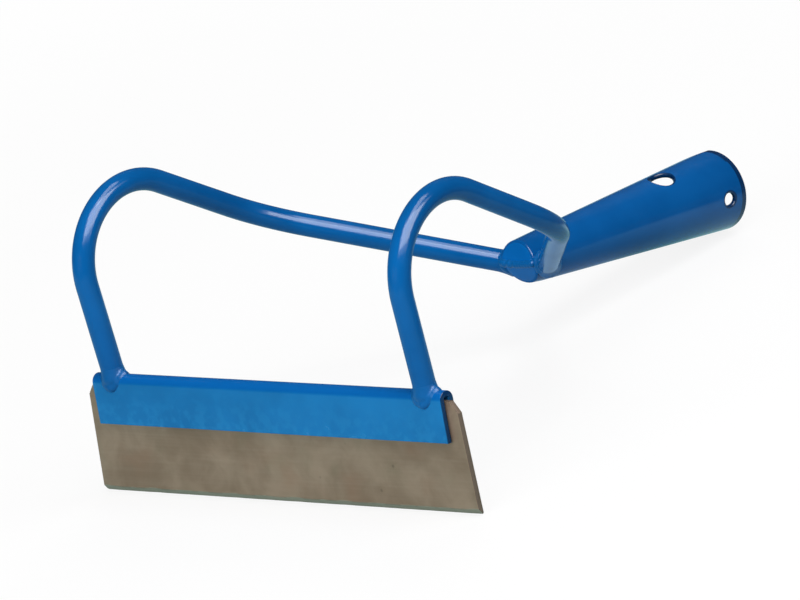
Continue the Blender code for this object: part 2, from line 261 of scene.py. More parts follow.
# How strongly each look of the paint covers what is under it: worn thin edges, and painted shade on the
# fold, at the holder's ends and round the socket's rims and holes
THIN_EDGE_SHARE = 0.55
FOLD_SHADE_SHARE = 0.9
END_SHADE_SHARE = 0.85
RIM_SHADE_SHARE = 0.88

# Roughness of clean enamel, and what is added where it is less glossy
ENAMEL_ROUGHNESS = 0.12
WELD_SATIN = 0.20
SMUDGE_DULLNESS = 0.08
THIN_EDGE_DULLNESS = 0.12
DUST_DULLNESS = 0.08
BORE_DULLNESS = 0.38

# Blade steel
DARK_CLOUD = (0.322, 0.207, 0.137)
PALE_CLOUD = (0.475, 0.325, 0.230)
ROLLING_LINE = (0.545, 0.392, 0.290)
SPECK = (0.10, 0.075, 0.050)
GROUND_STEEL = (0.55, 0.46, 0.34)
# Dark brown for painted shade on the blade's cut edges
SHEARED_EDGE_SHADE = (0.060, 0.050, 0.040)
STEEL_METALLIC = 0.62
ROLLING_STRETCH = (22.0, 900.0, 900.0)
ROLLING_RANGE = (0.40, 0.75)
ROLLING_SHARE = 0.12
ROLLING_LINE_DEPTH = 0.000008
CLOUD_SCALE = 90.0
PATCH_SCALE = 30.0
CLOUD_SHARE = 0.5
CLOUD_RANGE = (0.34, 0.68)
CLOUD_DEPTH = 0.00003
SPECK_SCALE = 90.0
SPECK_SIZE = (0.03, 0.08)
SPECK_SHARE = 0.35
TINT_SHARE = 0.45
GROUND_SHARE = 0.40
SHEARED_SHADE_SHARE = 0.8
STEEL_ROUGHNESS = 0.44
CLOUD_DULLNESS = 0.12
ROLLING_GLOSS = 0.06
GROUND_GLOSS = 0.12
SHEARED_DULLNESS = 0.26

# Colour, shift and scale of the noise, and the values at which each tinted patch begins and is full
STEEL_TINTS = (
    ((0.289, 0.224, 0.140), (3.1, 0.7, 1.9), 55.0, 0.52, 0.74),
    ((0.410, 0.222, 0.143), (0.4, 2.3, 5.2), 48.0, 0.54, 0.76),
)

# Floor: its colour under the head, beyond it and to the camera, how white that is, and its mirror image
FLOOR_REACH = 9.0
FLOOR_DROP = 0.0003
PAPER = (0.22, 0.34, 0.36)
PAPER_BEYOND = (0.08, 0.10, 0.11)
PAPER_SEEN = (0.80, 0.80, 0.80)
MIRRORED_PAPER = (0.34, 0.95, 1.0)
MIRRORED_SHARE = 0.22
BEYOND_HEAD = (0.16, 0.21)
FAR_OFF = (0.30, 0.80)
WHITENESS = 0.86

# Centre, inner and outer distance, tint and added share of each patch of floor that glows brighter in the
# paint's reflections: a painted reflection
MIRRORED_PATCHES = (
    ((0.035, 0.135, 0.0), 0.02, 0.075, (0.62, 0.95, 1.0), 0.74),
    ((-0.02, 0.035, 0.0), 0.025, 0.06, (0.46, 0.70, 1.0), 0.26),
)

# Light and camera
WHITE = (1.0, 1.0, 1.0, 1.0)
ROOM_LIGHT = 0.05
LIT_CENTRE = Vector((0.0, 0.0, 0.04))
SHINE_FROM = (0.24, 0.54, 0.80)
SHINE_ROLL = math.radians(-32.0)

VIEW_BACK = Vector((0.69929, -0.64602, 0.30603))
VIEW_RIGHT = Vector((0.71420, 0.64953, -0.26083))
VIEW_UP = VIEW_BACK.cross(VIEW_RIGHT)
VIEW_CENTRE = Vector((-0.00362, -0.04145, 0.04079))
VIEW_DISTANCE = 2.898
VIEW_LENS = 379.89
VIEW_SENSOR = 36.0
VIEW_CLIP_END = 60.0

# The head's frame, the blade's plane and the socket's axis
TOOL = Matrix.Translation((0.0, EDGE_Y, 0.0))
EDGE_RISE = BLADE_THICKNESS / 2 * math.sin(BLADE_LEAN)
PLATE_TURN = Matrix.Rotation(QUARTER_TURN - BLADE_LEAN, 4, "X")
PLATE = TOOL @ Matrix.Translation((0.0, 0.0, EDGE_RISE)) @ PLATE_TURN
SOCKET_TURN = Matrix.Rotation(QUARTER_TURN - SOCKET_DROP, 4, "X")
SOCKET = TOOL @ Matrix.Translation((0.0, SOCKET_MOUTH_Y, MOUTH_HEIGHT)) @ SOCKET_TURN


def socket_radius(from_mouth):
    return MOUTH_RADIUS + (NOSE_RADIUS - MOUTH_RADIUS) * from_mouth / SOCKET_LENGTH


def hole_centre(angle, from_mouth):
    radius = socket_radius(from_mouth)
    return SOCKET @ Vector((radius * math.cos(angle), radius * math.sin(angle), from_mouth))


# Materials

class Wire:
    """A socket in a material, so that sums on its number can be written as plain sums."""

    def __init__(self, recipe, socket):
        self.recipe = recipe
        self.socket = socket

    def __add__(self, other):
        return self.recipe.sum("ADD", self, other)

    def __radd__(self, other):
        return self.recipe.sum("ADD", other, self)

    def __sub__(self, other):
        return self.recipe.sum("SUBTRACT", self, other)

    def __rsub__(self, other):
        return self.recipe.sum("SUBTRACT", other, self)

    def __mul__(self, other):
        return self.recipe.sum("MULTIPLY", self, other)

    def __rmul__(self, other):
        return self.recipe.sum("MULTIPLY", other, self)


def opaque(colour):
    """A colour as a mix node takes it: a wire as it is, and three numbers with full opacity."""
    return colour if isinstance(colour, Wire) else (*colour, 1.0)


def tinted(colour, factors, added=(0.0, 0.0, 0.0)):
    return [part * factor + more for part, factor, more in zip(colour, factors, added)]


class Recipe:
    """One material's nodes."""

    def __init__(self, name):
        self.material = bpy.data.materials.new(name)
        self.material.use_nodes = True
        self.tree = self.material.node_tree
        self.shader = self.tree.nodes["Principled BSDF"]

    def node(self, kind, output=0, settings=None, values=None):
        made = self.tree.nodes.new(kind)
        for key, setting in (settings or {}).items():
            setattr(made, key, setting)
        for key, value in (values or {}).items():
            self.feed(made.inputs[key], value)
        return Wire(self, made.outputs[output])

    def feed(self, socket, value):
        if isinstance(value, Wire):
            self.tree.links.new(value.socket, socket)
        else:
            socket.default_value = value

    def sum(self, operation, first, second):
        return self.node("ShaderNodeMath", settings={"operation": operation}, values={0: first, 1: second})

    def place(self):
        return self.node("ShaderNodeTexCoord", output="Object")

    def mapped(self, place, location=(0.0, 0.0, 0.0), turn=(0.0, 0.0, 0.0), scale=(1.0, 1.0, 1.0)):
        values = {"Vector": place, "Location": location, "Rotation": turn, "Scale": scale}
        return self.node("ShaderNodeMapping", values=values)

    def noise(self, place, scale, detail=2.0, roughness=0.5, distortion=0.0):
        values = {"Vector": place, "Scale": scale, "Detail": detail, "Roughness": roughness,
                  "Distortion": distortion}
        return self.node("ShaderNodeTexNoise", values=values)

    def specks(self, place, scale, full, gone):
        """Small spots, one in each cell of a scattered pattern."""
        away = self.node("ShaderNodeTexVoronoi", output="Distance", values={"Vector": place, "Scale": scale})
        return 1.0 - self.rise(away, full, gone)

    def part(self, place, axis):
        return self.node("ShaderNodeSeparateXYZ", output=axis, values={"Vector": place})

    def mark(self, name):
        return self.node("ShaderNodeAttribute", output="Fac", settings={"attribute_name": name})

    def distance(self, place, point):
        settings = {"operation": "DISTANCE"}
        return self.node("ShaderNodeVectorMath", output=1, settings=settings, values={0: place, 1: point})

    def rise(self, value, low, high):
        """Zero below low, one above high, with a smooth step between them."""
        values = {"Value": value, "From Min": low, "From Max": high}
        return self.node("ShaderNodeMapRange", settings={"interpolation_type": "SMOOTHSTEP"}, values=values)

    def blend(self, share, first, second):
        values = {0: share, 6: opaque(first), 7: opaque(second)}
        return self.node("ShaderNodeMix", output=2, settings={"data_type": "RGBA"}, values=values)

    def bump(self, height, distance, under=None):
        values = {"Height": height, "Distance": distance, "Strength": 1.0}
        if under is not None:
            values["Normal"] = under
        return self.node("ShaderNodeBump", values=values)

    def finish(self, colour, roughness, normal):
        self.feed(self.shader.inputs["Base Color"], colour)
        self.feed(self.shader.inputs["Roughness"], roughness)
        self.feed(self.shader.inputs["Normal"], normal)
        return self.material


def shade_fold_and_ends(recipe, shade, colour):
    """Painted shade: the fold and the holder's two ends are painted darker."""
    shade = recipe.blend(recipe.mark("fold") * FOLD_SHADE_SHARE, shade, tinted(colour, FOLD_SHADE_TINT))
    return recipe.blend(recipe.mark("end") * END_SHADE_SHARE, shade, PAINTED_SHADE_BLUE)


def coat_bore(recipe, place, shade, bore):
    """Thin dull overspray on dark steel inside, and painted shade round the mouth, along the sheet's edges
    and round the holes.
    """
    cloud = recipe.noise(place, BORE_SCALE, detail=4.0, roughness=0.6)
    dull = recipe.blend(recipe.rise(cloud, *BORE_RANGE), BORE_STEEL, OVERSPRAY_BLUE)
    shade = recipe.blend(bore, shade, dull)
    rim_shade = recipe.mark("edge")
    for angle, from_mouth, radius, ring in PUNCHED_HOLES:
        away = recipe.distance(place, hole_centre(angle, from_mouth))
        rim_shade = rim_shade + 1.0 - recipe.rise(away, radius + ring * FULL_SHADE_RING_SHARE, radius + ring)
    return recipe.blend(recipe.rise(rim_shade, 0.0, 1.0) * RIM_SHADE_SHARE, shade, PAINTED_SHADE_BLUE)


def paint_relief(recipe, place, dust):
    """Orange peel in two sizes, and nibs of dust under the paint."""
    fine = recipe.noise(place, FINE_PEEL_SCALE, detail=1.5, roughness=0.4)
    broad = recipe.noise(place, BROAD_PEEL_SCALE)
    normal = recipe.bump(fine, FINE_PEEL_DEPTH)
    normal = recipe.bump(broad, BROAD_PEEL_DEPTH, normal)
    return recipe.bump(dust, DUST_NIB_HEIGHT, normal)


def blue_enamel(name, colour, satin=0.0, inside=False, with_fold_shade=False):
    """Glossy enamel that lies thicker in places, with orange peel, dust nibs and thin edges."""
    recipe = Recipe(name)
    place = recipe.place()
    thickness = recipe.noise(place, COAT_SCALE, detail=4.0, roughness=0.55)
    drift = recipe.noise(place, DRIFT_SCALE)
    coat = recipe.rise(thickness * COAT_SHARE + drift * (1.0 - COAT_SHARE), *COAT_RANGE)
    shade = recipe.blend(coat, tinted(colour, DEEP_TINT), tinted(colour, PALE_TINT, PALE_LIFT))
    worn = recipe.rise(recipe.noise(place, THIN_EDGE_SCALE, detail=3.0), *THIN_EDGE_RANGE)
    thin_edge = recipe.mark("edge") * worn
    shade = recipe.blend(thin_edge * THIN_EDGE_SHARE, shade, tinted(colour, THIN_TINT, THIN_LIFT))
    smudge = recipe.rise(recipe.noise(place, SMUDGE_SCALE, detail=5.0, roughness=0.62), *SMUDGE_RANGE)
    dust = recipe.specks(place, DUST_SCALE, *DUST_SIZE)
    roughness = ENAMEL_ROUGHNESS + satin + smudge * SMUDGE_DULLNESS
    roughness = roughness + thin_edge * THIN_EDGE_DULLNESS + dust * DUST_DULLNESS
    # On the holder: painted shade on the fold and at the ends
    if with_fold_shade:
        shade = shade_fold_and_ends(recipe, shade, colour)
    if inside:
        bore = recipe.mark("inside")
        shade = coat_bore(recipe, place, shade, bore)
        roughness = roughness + bore * BORE_DULLNESS
    recipe.shader.inputs["Specular IOR Level"].default_value = ENAMEL_SPECULAR
    return recipe.finish(shade, roughness, paint_relief(recipe, place, dust))


def rolled_steel():
    """Cloudy warm grey-brown blade steel with fine rolling lines, a brighter ground bevel, and painted shade
    on the cut edges.
    """
    recipe = Recipe("rolled_blade_steel")
    place = recipe.place()
    flat = recipe.mapped(place, turn=(BLADE_LEAN - QUARTER_TURN, 0.0, 0.0))
    lines = recipe.mapped(flat, scale=ROLLING_STRETCH)
    rolling = recipe.noise(lines, 1.0, detail=4.0, roughness=0.6)
    cloud = recipe.noise(place, CLOUD_SCALE, detail=5.0, roughness=0.55, distortion=0.5)
    patch = recipe.noise(place, PATCH_SCALE, detail=3.0, distortion=0.4)
    clouds = recipe.rise(cloud * CLOUD_SHARE + patch * (1.0 - CLOUD_SHARE), *CLOUD_RANGE)
    shade = recipe.blend(clouds, DARK_CLOUD, PALE_CLOUD)
    for tint, shift, scale, low, high in STEEL_TINTS:
        spread = recipe.noise(recipe.mapped(place, location=shift), scale, detail=3.0)
        shade = recipe.blend(recipe.rise(spread, low, high) * TINT_SHARE, shade, tint)
    shade = recipe.blend(recipe.rise(rolling, *ROLLING_RANGE) * ROLLING_SHARE, shade, ROLLING_LINE)
    shade = recipe.blend(recipe.specks(place, SPECK_SCALE, *SPECK_SIZE) * SPECK_SHARE, shade, SPECK)
    ground = recipe.mark("ground")
    shade = recipe.blend(ground * GROUND_SHARE, shade, GROUND_STEEL)
    # The cut edges, the corner clips with them, are painted dark: painted shade
    sheared = recipe.mark("edge")
    shade = recipe.blend(sheared * SHEARED_SHADE_SHARE, shade, SHEARED_EDGE_SHADE)
    roughness = STEEL_ROUGHNESS + cloud * CLOUD_DULLNESS - rolling * ROLLING_GLOSS
    roughness = roughness - ground * GROUND_GLOSS + sheared * SHEARED_DULLNESS
    normal = recipe.bump(rolling, ROLLING_LINE_DEPTH)
    normal = recipe.bump(cloud, CLOUD_DEPTH, normal)
    recipe.shader.inputs["Metallic"].default_value = STEEL_METALLIC
    return recipe.finish(shade, roughness, normal)


# Sheet work

def arc_points(centre, radius, start, end, steps):
    points = []
    for step in range(steps + 1):
        angle = start + (end - start) * step / steps
        points.append((centre[0] + radius * math.cos(angle), centre[1] + radius * math.sin(angle)))
    return points


def steps_between(low, high, count):
    return [low + (high - low) * step / count for step in range(1, count)]


def new_piece(name, data):
    item = bpy.data.objects.new(name, data)
    bpy.context.scene.collection.objects.link(item)
    return item


def plain_mesh(item):
    """The object's evaluated shape as a mesh of its own; the object itself is removed."""
    bpy.context.view_layer.update()
    evaluated = item.evaluated_get(bpy.context.evaluated_depsgraph_get())
    mesh = bpy.data.meshes.new_from_object(evaluated)
    bpy.data.objects.remove(item, do_unlink=True)
    return mesh


def cut_sheet(name, outlines, half_thickness, rounding):
    """A flat sheet cut to closed outlines, its edges rounded over on both faces."""
    curve = bpy.data.curves.new(name, "CURVE")
    curve.dimensions = "2D"
    curve.fill_mode = "BOTH"
    curve.extrude = half_thickness - rounding
    curve.bevel_depth = rounding
    curve.bevel_resolution = 2
    curve.offset = -rounding
    for outline in outlines:
        spline = curve.splines.new("POLY")
        spline.points.add(len(outline) - 1)
        for point, (x, y) in zip(spline.points, outline):
            point.co = (x, y, 0.0, 1.0)
        spline.use_cyclic_u = True
    return plain_mesh(new_piece(name, curve))


def sheet_cage(mesh):
    """The sheet with its points merged and its faces pointing outwards, ready to be bent."""
    cage = bmesh.new()
    cage.from_mesh(mesh)
    bmesh.ops.remove_doubles(cage, verts=cage.verts, dist=MERGE)
    bmesh.ops.recalc_face_normals(cage, faces=cage.faces)
    return cage


def slice_mesh(cage, axis, places):
    """Extra edge lines across the mesh, so that it can be bent."""
    direction = Vector((0.0, 0.0, 0.0))
    direction[axis] = 1.0
    for place in places:
        everything = cage.verts[:] + cage.edges[:] + cage.faces[:]
        bmesh.ops.bisect_plane(cage, geom=everything, dist=MERGE, plane_co=direction * place,
                               plane_no=direction)


def settle(cage, mesh, marks, matrix):
    """Write the worked sheet back to its mesh, with its marks for the paint, and set it in its place."""
    cage.to_mesh(mesh)
    cage.free()
    for name, values in marks.items():
        attribute = mesh.attributes.new(name, "FLOAT", "POINT")
        attribute.data.foreach_set("value", values)
    mesh.transform(matrix)


def shade_edges(mesh, sharp_angle):
    mesh.shade_smooth()
    mesh.set_sharp_from_angle(angle=sharp_angle)


# Blade and holder

def blade_outline():
    half = BLADE_WIDTH / 2
    radius = EDGE_CORNER_RADIUS
    right = arc_points((half - radius, radius), radius, -QUARTER_TURN, 0.0, EDGE_CORNER_STEPS)
    right.append((half - SHOULDER_INSET, SHOULDER_HEIGHT))
    right.append((half - SHOULDER_INSET - CORNER_CLIP, BLADE_HEIGHT))
    left = [(-x, y) for x, y in reversed(right)]
    return right + left


def make_blade():
    """The strip with its bevel ground into the front, and an edge that isn't quite straight."""
    half = BLADE_THICKNESS / 2
    mesh = cut_sheet("hoe_blade", [blade_outline()], half, BLADE_ROUNDING)
    cage = sheet_cage(mesh)
    slice_mesh(cage, 0, steps_between(-BLADE_WIDTH / 2, BLADE_WIDTH / 2, BLADE_SLICES))
    slice_mesh(cage, 1, BEVEL_LINES)
    ground = []
    edges = []
    depth = BLADE_THICKNESS - EDGE_THICKNESS
    for vert in cage.verts:
        edges.append(1.0 if abs(vert.co.z) < half - NEAR else 0.0)
        wander = noise.noise(Vector((vert.co.x * WANDER_PITCH, 0.0, 0.0))) * WANDER
        bevel_top = BEVEL_HEIGHT + wander * BEVEL_WANDER_SHARE
        front = -half + EDGE_THICKNESS + depth * vert.co.y / bevel_top
        on_bevel = vert.co.z > front - NEAR and vert.co.y < bevel_top + BEVEL_BLUR
        ground.append(1.0 if on_bevel else 0.0)
        vert.co.z = min(vert.co.z, max(front, -half))
        if vert.co.y < EDGE_WANDER_HEIGHT:
            share = EDGE_WANDER_SHARE * (1.0 - vert.co.y / EDGE_WANDER_HEIGHT)
            vert.co.y += max(0.0, wander) * share
    settle(cage, mesh, {"ground": ground, "edge": edges}, PLATE)
    shade_edges(mesh, BEVEL_SHARP_ANGLE)
    return new_piece("hoe_blade", mesh)


def holder_outline():
    """The fold's end: an upside-down U whose lips are rounded on the outside."""
    outer = HOLDER_RADIUS
    inner = outer - HOLDER_SHEET
    fold_centre = (0.0, FOLD_HEIGHT)
    lip_x = outer - HOLDER_LIP
    lip_y = HOLDER_BOTTOM + HOLDER_LIP
    outline = [(inner, HOLDER_BOTTOM)]
    outline += arc_points((lip_x, lip_y), HOLDER_LIP, -QUARTER_TURN, 0.0, LIP_STEPS)
    outline += arc_points(fold_centre, outer, 0.0, math.pi, OUTER_FOLD_STEPS)
    outline += arc_points((-lip_x, lip_y), HOLDER_LIP, math.pi, math.pi + QUARTER_TURN, LIP_STEPS)
    outline.append((-inner, HOLDER_BOTTOM))
    outline += arc_points(fold_centre, inner, math.pi, 0.0, INNER_FOLD_STEPS)
    return outline


def make_holder():
    """The folded sheet, with a slight sway along its flanges."""
    half = HOLDER_LENGTH / 2
    mesh = cut_sheet("blade_holder_fold", [holder_outline()], half, HOLDER_ROUNDING)
    cage = sheet_cage(mesh)
    slice_mesh(cage, 2, steps_between(-half, half, HOLDER_SLICES))
    edges = []
    end_shades = []
    fold_shades = []
    for vert in cage.verts:
        near_end = abs(vert.co.z) > half - THIN_PAINT_REACH
        near_lip = vert.co.y < HOLDER_BOTTOM + HOLDER_LIP
        edges.append(1.0 if near_end or near_lip else 0.0)
        # Marks for painted shade: the holder's two ends, and the fold fading in above its centre line
        end_shades.append(1.0 if abs(vert.co.z) > half - END_SHADE_REACH else 0.0)
        fold_shades.append(min(1.0, max(0.0, (vert.co.y - FOLD_HEIGHT) / FOLD_SHADE_FADE)))
        sway_at = Vector((vert.co.z * SWAY_PITCH_ALONG, vert.co.y * SWAY_PITCH_UP, SWAY_ROW))
        sway = noise.noise(sway_at)
        vert.co.x += math.copysign(sway * HOLDER_SWAY, vert.co.x)
    across = PLATE @ Matrix.Rotation(-QUARTER_TURN, 4, "Y")
    settle(cage, mesh, {"edge": edges, "end": end_shades, "fold": fold_shades}, across)
    shade_edges(mesh, SHARP_ANGLE)
    return new_piece("blade_holder_fold", mesh)


# Socket and plug

def seam_half_angle(from_mouth):
    """Half the open seam: a wedge from the mouth with a round tip, then a closed butt joint to the nose."""
    tip = SEAM_LENGTH - SEAM_TIP_RADIUS
    if from_mouth < tip:
        half = SEAM_MOUTH_HALF_WIDTH + (SEAM_TIP_RADIUS - SEAM_MOUTH_HALF_WIDTH) * from_mouth / tip
    else:
        half = math.sqrt(max(0.0, SEAM_TIP_RADIUS ** 2 - (from_mouth - tip) ** 2))
    return math.asin(max(half, BUTT_HALF_WIDTH) / socket_radius(from_mouth))


def lean_nose(place):
    """The closed end is a blunt wedge: it leans back above and, more so, below the edge across it."""
    share = 1.0 - (SOCKET_LENGTH - place.z) / NOSE_LEAN_LENGTH
    if share <= 0.0:
        return place
    height = place.y - NOSE_EDGE_HEIGHT
    back = height * NOSE_LEAN_OVER if height > 0.0 else -height * NOSE_LEAN_UNDER
    return Vector((place.x, place.y, place.z - back * min(share, 1.0)))


def socket_blank():
    """Outlines of the flat blank, with angle round the socket laid out along X."""
    rows = [SOCKET_LENGTH * step / OUTLINE_ROWS for step in range(OUTLINE_ROWS + 1)]
    for step in range(SEAM_TIP_ROWS + 1):
        rows.append(SEAM_LENGTH - SEAM_TIP_RADIUS * (1.0 - step / SEAM_TIP_ROWS) ** 2)
    left = []
    right = []
    for from_mouth in sorted(set(rows)):
        half_angle = seam_half_angle(from_mouth)
        left.append((half_angle * BLANK_RADIUS, from_mouth))
        right.append(((FULL_TURN - half_angle) * BLANK_RADIUS, from_mouth))
    outlines = [right + left[::-1]]
    for angle, from_mouth, radius, _ in PUNCHED_HOLES:
        turn = (angle - SEAM_ANGLE) % FULL_TURN
        stretch = BLANK_RADIUS / socket_radius(from_mouth)
        circle = arc_points((0.0, 0.0), radius, 0.0, FULL_TURN, HOLE_SIDES)[:-1]
        outlines.append([(turn * BLANK_RADIUS + x * stretch, from_mouth + y) for x, y in circle])
    return outlines


def level_directions(cage, half_thickness):
    """Each point's direction, exactly square to the sheet on its two faces, and its edge mark."""
    cage.normal_update()
    directions = []
    edges = []
    for vert in cage.verts:
        on_face = abs(vert.co.z) > half_thickness - NEAR
        square = Vector((0.0, 0.0, math.copysign(1.0, vert.co.z)))
        directions.append(square if on_face else vert.normal.copy())
        edges.append(0.0 if on_face else 1.0)
    return directions, edges


def make_socket():
    """The blank is cut and punched flat, then rolled into its cone."""
    half = SOCKET_WALL / 2
    mesh = cut_sheet("socket_shell", socket_blank(), half, SHEET_ROUNDING)
    cage = sheet_cage(mesh)
    slice_mesh(cage, 0, steps_between(0.0, FULL_TURN * BLANK_RADIUS, int(FULL_TURN / BLANK_STEP)))
    slice_mesh(cage, 1, list(RIM_SHADE_LINES) + steps_between(0.0, SOCKET_LENGTH, BLANK_ROWS))
    directions, edges = level_directions(cage, half)
    for index, vert in enumerate(cage.verts):
        # Near the mouth the rim is marked for painted shade; near the nose nothing is marked
        if vert.co.y < RIM_SHADE_LINES[0] + NEAR:
            edges[index] = 1.0
        if vert.co.y > SOCKET_LENGTH - NOSE_LEAN_LENGTH:
            edges[index] = 0.0
    inside = []
    rolled = []
    for vert, flat in zip(cage.verts, directions):
        angle = SEAM_ANGLE + vert.co.x / BLANK_RADIUS
        outward = Vector((math.cos(angle), math.sin(angle), SOCKET_SLOPE)).normalized()
        around = Vector((-math.sin(angle), math.cos(angle), 0.0))
        along = around.cross(outward)
        if along.z < 0.0:
            along = -along
        inside.append(1.0 if vert.co.z < -half + INNER_SKIN else 0.0)
        rolled.append(around * flat.x + along * flat.y + outward * flat.z)
        radius = socket_radius(vert.co.y) - half
        middle = Vector((radius * math.cos(angle), radius * math.sin(angle), vert.co.y))
        vert.co = lean_nose(middle + outward * vert.co.z)
    settle(cage, mesh, {"edge": edges, "inside": inside}, SOCKET)
    turn = SOCKET.to_3x3()
    mesh.shade_smooth()
    mesh.normals_split_custom_set_from_vertices([tuple((turn @ flat).normalized()) for flat in rolled])
    return new_piece("socket_shell", mesh)


def lathe(name, profile, sides):
    """A closed turned shape: the profile is a list of (radius, height) from axis to axis."""
    verts = []
    faces = []
    for radius, height in profile[1:-1]:
        for step in range(sides):
            angle = FULL_TURN * step / sides
            verts.append((radius * math.cos(angle), radius * math.sin(angle), height))
    rings = len(profile) - 2
    for ring in range(rings - 1):
        for step in range(sides):
            ahead = (step + 1) % sides
            low = ring * sides
            high = low + sides
            faces.append((low + step, low + ahead, high + ahead, high + step))
    for place, ring in ((profile[0], 0), (profile[-1], rings - 1)):
        centre = len(verts)
        verts.append((0.0, 0.0, place[1]))
        for step in range(sides):
            ahead = (step + 1) % sides
            faces.append((centre, ring * sides + step, ring * sides + ahead))
    mesh = bpy.data.meshes.new(name)
    mesh.from_pydata(verts, [], faces)
    cage = bmesh.new()
    cage.from_mesh(mesh)
    bmesh.ops.recalc_face_normals(cage, faces=cage.faces)
    cage.to_mesh(mesh)
    cage.free()
    shade_edges(mesh, SHARP_ANGLE)
    return mesh


def make_plug():
    """The plug that closes the nose, dressed flush with the socket's end and leaning as that does."""
    inner = NOSE_RADIUS - SOCKET_WALL + PLUG_OVERLAP
    outer = NOSE_RADIUS - SHEET_ROUNDING
    top = SOCKET_LENGTH
    profile = [(0.0, top - PLUG_THICKNESS), (inner, top - PLUG_THICKNESS), (inner, top - PLUG_RIM_DEPTH)]
    profile += [(outer, top - PLUG_RIM_SINK), (outer - PLUG_RIM_WIDTH, top + PLUG_RIM_RISE)]
    for step in range(1, PLUG_RINGS):
        radius = outer * (1.0 - step / PLUG_RINGS)
        profile.append((radius, top + PLUG_CROWN_RISE + PLUG_CROWN_STEP * step))
    profile.append((0.0, top + PLUG_TOP_RISE))
    mesh = lathe("nose_disc", profile, PLUG_SIDES)
    for vert in mesh.vertices:
        vert.co = SOCKET @ lean_nose(vert.co)
    return new_piece("nose_disc", mesh)


# Node trees

class Tree:
    """A Geometry Nodes tree with named inputs."""

    def __init__(self, name):
        self.group = bpy.data.node_groups.new(name, "GeometryNodeTree")
        self.group.interface.new_socket("Geometry", in_out="OUTPUT", socket_type="NodeSocketGeometry")
        self.group.interface.new_socket("Geometry", in_out="INPUT", socket_type="NodeSocketGeometry")
        self.entry = self.group.nodes.new("NodeGroupInput")
        self.exit = self.group.nodes.new("NodeGroupOutput")

    def input(self, name, kind):
        self.group.interface.new_socket(name, in_out="INPUT", socket_type=kind)
        return self.entry.outputs[name]

    def node(self, kind, settings=None, values=None):
        made = self.group.nodes.new(kind)
        for key, setting in (settings or {}).items():
            setattr(made, key, setting)
        for key, value in (values or {}).items():
            if isinstance(value, bpy.types.NodeSocket):
                self.group.links.new(value, made.inputs[key])
            else:
                made.inputs[key].default_value = value
        return made.outputs

    def sum(self, operation, first, second):
        return self.node("ShaderNodeMath", {"operation": operation}, {0: first, 1: second})[0]

    def end(self, geometry):
        """Close the tree with real, painted geometry."""
        finish = self.input("Finish", "NodeSocketMaterial")
        real = self.node("GeometryNodeRealizeInstances", values={"Geometry": geometry})
        painted = self.node("GeometryNodeSetMaterial", values={"Geometry": real[0], "Material": finish})
        self.group.links.new(painted[0], self.exit.inputs["Geometry"])

    def apply(self, item, inputs):
        """Put the tree on the object, with a value for each named input, and return the mesh it makes."""
        modifier = item.modifiers.new(self.group.name, "NODES")
        modifier.node_group = self.group
        for entry in self.group.interface.items_tree:
            if entry.name in inputs:
                modifier[entry.identifier] = inputs[entry.name]
        return plain_mesh(item)


def bar_tree():
    """A round bar along a path, whose thickness varies by a few hundredths of a millimetre."""
    tree = Tree("bent_bar")
    radius = tree.input("Bar Radius", "NodeSocketFloat")
    sides = tree.input("Sides", "NodeSocketInt")
    unevenness = tree.input("Unevenness", "NodeSocketFloat")
    texture = tree.node("ShaderNodeTexNoise", values={"Scale": ARM_NOISE_SCALE, "Detail": 2.0})
    swing = tree.sum("MULTIPLY", tree.sum("SUBTRACT", texture[0], 0.5), unevenness)
    thickness = tree.sum("MULTIPLY", tree.sum("ADD", swing, 1.0), radius)
    circle = tree.node("GeometryNodeCurvePrimitiveCircle", values={"Resolution": sides, "Radius": 1.0})
    values = {"Curve": tree.entry.outputs["Geometry"], "Profile Curve": circle[0], "Scale": thickness,
              "Fill Caps": True}
    tree.end(tree.node("GeometryNodeCurveToMesh", values=values)[0])
    return tree


def ripple_tree():
    """Overlapping drops of weld metal along a path, each a little different in size."""
    tree = Tree("weld_ripples")
    spacing = tree.input("Spacing", "NodeSocketFloat")
    size = tree.input("Drop Radius", "NodeSocketFloat")
    variation = tree.input("Variation", "NodeSocketFloat")
    seed = tree.input("Seed", "NodeSocketInt")
    path = tree.node("GeometryNodeResampleCurve", {"mode": "LENGTH"},
                     {"Curve": tree.entry.outputs["Geometry"], "Length": spacing})
    drop = tree.node("GeometryNodeMeshIcoSphere", values={"Radius": 1.0, "Subdivisions": 3})
    least = tree.sum("SUBTRACT", 1.0, variation)
    most = tree.sum("ADD", 1.0, variation)
    random = tree.node("FunctionNodeRandomValue", {"data_type": "FLOAT"}, {2: least, 3: most, "Seed": seed})
    scale = tree.sum("MULTIPLY", random[1], size)
    values = {"Points": path[0], "Instance": drop[0], "Scale": scale}
    tree.end(tree.node("GeometryNodeInstanceOnPoints", values=values)[0])
    return tree


def path_curve(name, path):
    curve = bpy.data.curves.new(name, "CURVE")
    curve.dimensions = "3D"
    spline = curve.splines.new("POLY")
    spline.points.add(len(path) - 1)
    for point, place in zip(spline.points, path):
        point.co = (*place, 1.0)
    return new_piece(name, curve)


# Arms

def mirrored(point, side):
    return Vector((side * point[0], point[1], point[2]))


def foot_point(side):
    """The centre of the bar's foot, sunk a little into the fold that it stands on."""
    y = FOLD_HEIGHT * math.sin(BLADE_LEAN)
    z = FOLD_HEIGHT * math.cos(BLADE_LEAN) + HOLDER_RADIUS + GAP - FOOT_SINK
    return Vector((side * ARM_FOOT_X, y, z))


def neck_joint(side):
    """Where the arm's centre line crosses the socket's outer wall, in the tool's axes."""
    to_socket = SOCKET.inverted() @ TOOL
    outside = mirrored(ARM_KINK, side)
    inside = mirrored(ARM_APEX, side)
    for _ in range(JOINT_HALVINGS):
        middle = (outside + inside) / 2
        local = to_socket @ middle
        if math.hypot(local.x, local.y) > socket_radius(local.z):
            outside = middle
        else:
            inside = middle
    return outside


